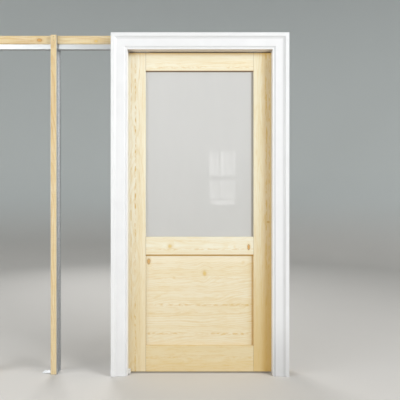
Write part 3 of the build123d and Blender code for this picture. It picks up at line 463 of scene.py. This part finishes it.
LOOK = {
    "door_stile_trail": stile_left, "door_stile_lead": stile_right, "door_top_rail": top_rail, "door_mid_rail": mid_rail,
    "door_bottom_rail": bottom_rail, "door_panel": panel, "glazing_beads_cross": bead_cross,
    "glazing_beads_upright": bead_upright, "door_dowels": dowel, "glass_pane": glass, "glazing_tape": foam,
    "setting_blocks": rubber, "door_bumper": rubber, "track": aluminium, "door_guide_front": nylon, "door_guide_rear": nylon,
    "lock_lever_lead": nylon, "lock_lever_trail": nylon, "wheels_lead_a": nylon, "wheels_lead_b": nylon,
    "wheels_trail_a": nylon, "wheels_trail_b": nylon, "hanger_plate_lead": galvanised, "hanger_plate_trail": galvanised,
    "pendant_bolts": bright_steel, "lock_nuts": bright_steel, "lever_rivets": bright_steel, "wheel_axles": bright_steel,
    "trolley_lead": zinc, "trolley_trail": zinc, "plate_screws": yellow_zinc, "track_screws": yellow_zinc,
    "frame_screws": yellow_zinc, "trim_screws": yellow_zinc, "header_bracket_strike": galvanised,
    "header_bracket_pocket": galvanised, "floor_bracket_mouth": galvanised, "floor_bracket_mid": galvanised,
    "stud_wraps": galvanised, "header_rail": stud_level, "header_board_front": stud_level, "header_board_rear": stud_level,
    "strike_post": stud_upright, "pocket_end_post": stud_upright, "mouth_stud_front": stud_upright,
    "mouth_stud_rear": stud_upright, "mid_stud_front": stud_upright, "mid_stud_rear": stud_upright, "shims": stud_upright,
}
for n in ("strike_jamb", "split_jamb_front", "split_jamb_rear", "casing_front_pocket", "casing_rear_pocket"):
    LOOK[n] = paint_up
for n in ("casing_front_strike", "casing_rear_strike"):
    LOOK[n] = paint_strike
for n in ("casing_front_head", "casing_rear_head"):
    LOOK[n] = paint_level
for n in ("head_jamb_front", "head_jamb_rear"):
    LOOK[n] = paint_soffit

for name, obj in NODES.items():
    obj.data.materials.clear()
    obj.data.materials.append(LOOK[name])

# ------------------------------------------------------------------ the pendant bolts, with their thread


def pendant_bolts():
    """Two hexagon-head bolts as one closed skin each: chamfered head, short neck, rolled 8 x 1.25 thread, chamfered end."""
    low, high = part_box("pendant_bolts")
    af, head, major, depth, pitch, n = 0.0065, 0.0054, 0.0040, 0.00066, 0.00125, 36
    corner = af / math.cos(math.radians(30))
    seat = low[2] + head
    top = high[2]
    turn = [2 * math.pi * k / n for k in range(n)]
    hexagon = [af / math.cos(t % (math.pi / 3) - math.pi / 6) for t in turn]
    rings = [(low[2], [min(r, af * 0.96) for r in hexagon]), (low[2] + 0.0008, hexagon), (seat, hexagon), (seat, [major] * n), (seat + 0.0020, [major] * n)]
    z = seat + 0.0020
    while z < top - 0.0002:
        z = min(z + pitch / 8, top)
        ring = []
        for t in turn:
            phase = ((z - seat) / pitch - t / (2 * math.pi)) % 1.0
            groove = min(1.0, max(0.0, 1.25 - abs(phase - 0.5) * 3.0))
            run_in = min(1.0, (z - seat - 0.0020) / 0.0015)
            ring.append(min(major - depth * groove * run_in, major - max(0.0, z - (top - 0.0008))))
        rings.append((z, ring))
    bm = bmesh.new()
    for x in (low[0] + corner, high[0] - corner):
        skin = [[bm.verts.new((x + r * math.cos(t), r * math.sin(t), z)) for r, t in zip(ring, turn)] for z, ring in rings]
        for a, b in zip(skin, skin[1:]):
            for k in range(n):
                j = (k + 1) % n
                bm.faces.new((a[k], a[j], b[j], b[k]))
        bm.faces.new(list(reversed(skin[0])))
        bm.faces.new(skin[-1])
    bm.normal_update()
    me = bpy.data.meshes.new("pendant_bolts_threaded")
    bm.to_mesh(me)
    bm.free()
    o = bpy.data.objects.new("pendant_bolts_threaded", me)
    bpy.context.scene.collection.objects.link(o)
    o.data.materials.append(bright_steel)
    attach(o, "door")
    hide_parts("pendant_bolts")
    return o


pendant_bolts()

# ------------------------------------------------------------------ stage: a pale round cyclorama


def cyclorama():
    me = bpy.data.meshes.new("cyclorama")
    bm = bmesh.new()
    profile = [(0.0, 0.0), (1.5, 0.0), (3.2, 0.0)]
    R, bend = 6.4, 1.6
    profile += [(R - bend + bend * math.sin(a), bend - bend * math.cos(a)) for a in [math.radians(5 * k) for k in range(19)]]
    profile += [(R, 3.5), (R, 6.0)]
    seg = 96
    rings = []
    for r, z in profile:
        if r == 0:
            rings.append([bm.verts.new((CX, 0, -0.0005))])
        else:
            rings.append([
                bm.verts.new((CX + r * math.cos(2 * math.pi * k / seg), r * math.sin(2 * math.pi * k / seg), z - 0.0005))
                for k in range(seg)
            ])
    for a, b in zip(rings, rings[1:]):
        for k in range(seg):
            j = (k + 1) % seg
            if len(a) == 1:
                bm.faces.new((a[0], b[k], b[j]))
            else:
                bm.faces.new((a[k], b[k], b[j], a[j]))
    bm.normal_update()
    bm.to_mesh(me)
    bm.free()
    me.polygons.foreach_set("use_smooth", [True] * len(me.polygons))
    o = bpy.data.objects.new("cyclorama", me)
    bpy.context.scene.collection.objects.link(o)
    g = Graph("pale_backdrop")
    soft = g.noise(g.pos, 2.0, 2, 0.5)
    rise = g.step(g.z, 0.0, 1.2)
    g.color(g.mix(rise, g.mix(soft, (0.66, 0.64, 0.612), (0.645, 0.625, 0.597)), g.mix(soft, (0.68, 0.72, 0.72), (0.67, 0.71, 0.712))))
    g.bsdf.inputs["Roughness"].default_value = 0.9
    g.bsdf.inputs["Specular IOR Level"].default_value = 0.1
    o.data.materials.append(g.mat)
    return o


cyclorama()


def window_card():
    """A pale card of seven oblongs far in front, which only the pane's smooth face picks up."""
    me = bpy.data.meshes.new("window_card")
    bm = bmesh.new()
    for x0, x1, z0, z1 in (
        (0.154, 0.305, 1.447, 1.843), (0.335, 0.405, 1.447, 1.843), (0.420, 0.580, 1.447, 1.843),
        (0.154, 0.305, 1.075, 1.372), (0.335, 0.405, 1.075, 1.372), (0.420, 0.580, 1.075, 1.372),
        (0.170, 0.560, 0.980, 1.045),
    ):
        bm.faces.new([bm.verts.new((CX + x, -4.4, z)) for x, z in ((x0, z0), (x0, z1), (x1, z1), (x1, z0))])
    bm.to_mesh(me)
    bm.free()
    o = bpy.data.objects.new("window_card", me)
    bpy.context.scene.collection.objects.link(o)
    o.visible_camera = o.visible_shadow = o.visible_diffuse = False
    g = Graph("daylight")
    g.color((0.0, 0.0, 0.0))
    g.bsdf.inputs["Emission Color"].default_value = (1.0, 1.0, 1.0, 1.0)
    cloud = g.noise(g.vec(g.mul(g.x, 7.0), 0.0, g.mul(g.z, 3.5)), 1.0, 2, 0.5)
    g.put(g.bsdf.inputs["Emission Strength"], g.m("MULTIPLY_ADD", g.step(cloud, 0.35, 0.65), 1.5, 1.6))
    o.data.materials.append(g.mat)


window_card()


def area(name, at, aim, size, power, color=(1, 1, 1), size_y=None):
    light = bpy.data.lights.new(name, "AREA")
    light.shape = "RECTANGLE"
    light.size, light.size_y = size, size_y or size
    light.energy = power
    light.color = color
    o = bpy.data.objects.new(name, light)
    bpy.context.scene.collection.objects.link(o)
    o.location = at
    o.rotation_mode = "QUATERNION"
    o.rotation_quaternion = (Vector(aim) - Vector(at)).to_track_quat("-Z", "Y")
    return o


area("key", (CX + 4.2, -2.7, 3.9), (CX, 0, 1.1), 3.0, 204.0)
area("front", (CX + 3.6, -3.6, 3.9), (CX, 0, 1.3), 2.6, 52.0)
area("fill", (CX - 2.4, -3.8, 2.1), (CX, 0, 1.3), 1.8, 29.0)
area("side", (CX - 3.6, -1.8, 1.9), (CX, 0, 1.2), 2.2, 63.0)
area("back", (CX - 1.5, 3.4, 3.4), (CX - 0.4, 0, 1.2), 2.0, 90.0)

world = bpy.data.worlds.new("studio")
world.use_nodes = True
world.node_tree.nodes["Background"].inputs[0].default_value = (0.93, 0.96, 1.0, 1)
world.node_tree.nodes["Background"].inputs[1].default_value = 0.03
bpy.context.scene.world = world
bpy.context.scene.view_settings.view_transform = "Standard"
bpy.context.scene.view_settings.look = "None"
bpy.context.scene.view_settings.exposure = 0.0

# ------------------------------------------------------------------ camera: level, square on to the doorway

cam_data = bpy.data.cameras.new("camera")
cam_data.sensor_fit = "HORIZONTAL"
cam_data.sensor_width = 36.0
cam_data.lens = 440.7 / 400.0 * 36.0
cam_data.shift_y = -5.05 / 400.0
cam = bpy.data.objects.new("camera", cam_data)
cam.location = (CX, FACE - 2.808, 1.135)
cam.rotation_euler = (math.radians(90), 0, 0)
bpy.context.scene.collection.objects.link(cam)
bpy.context.scene.camera = cam
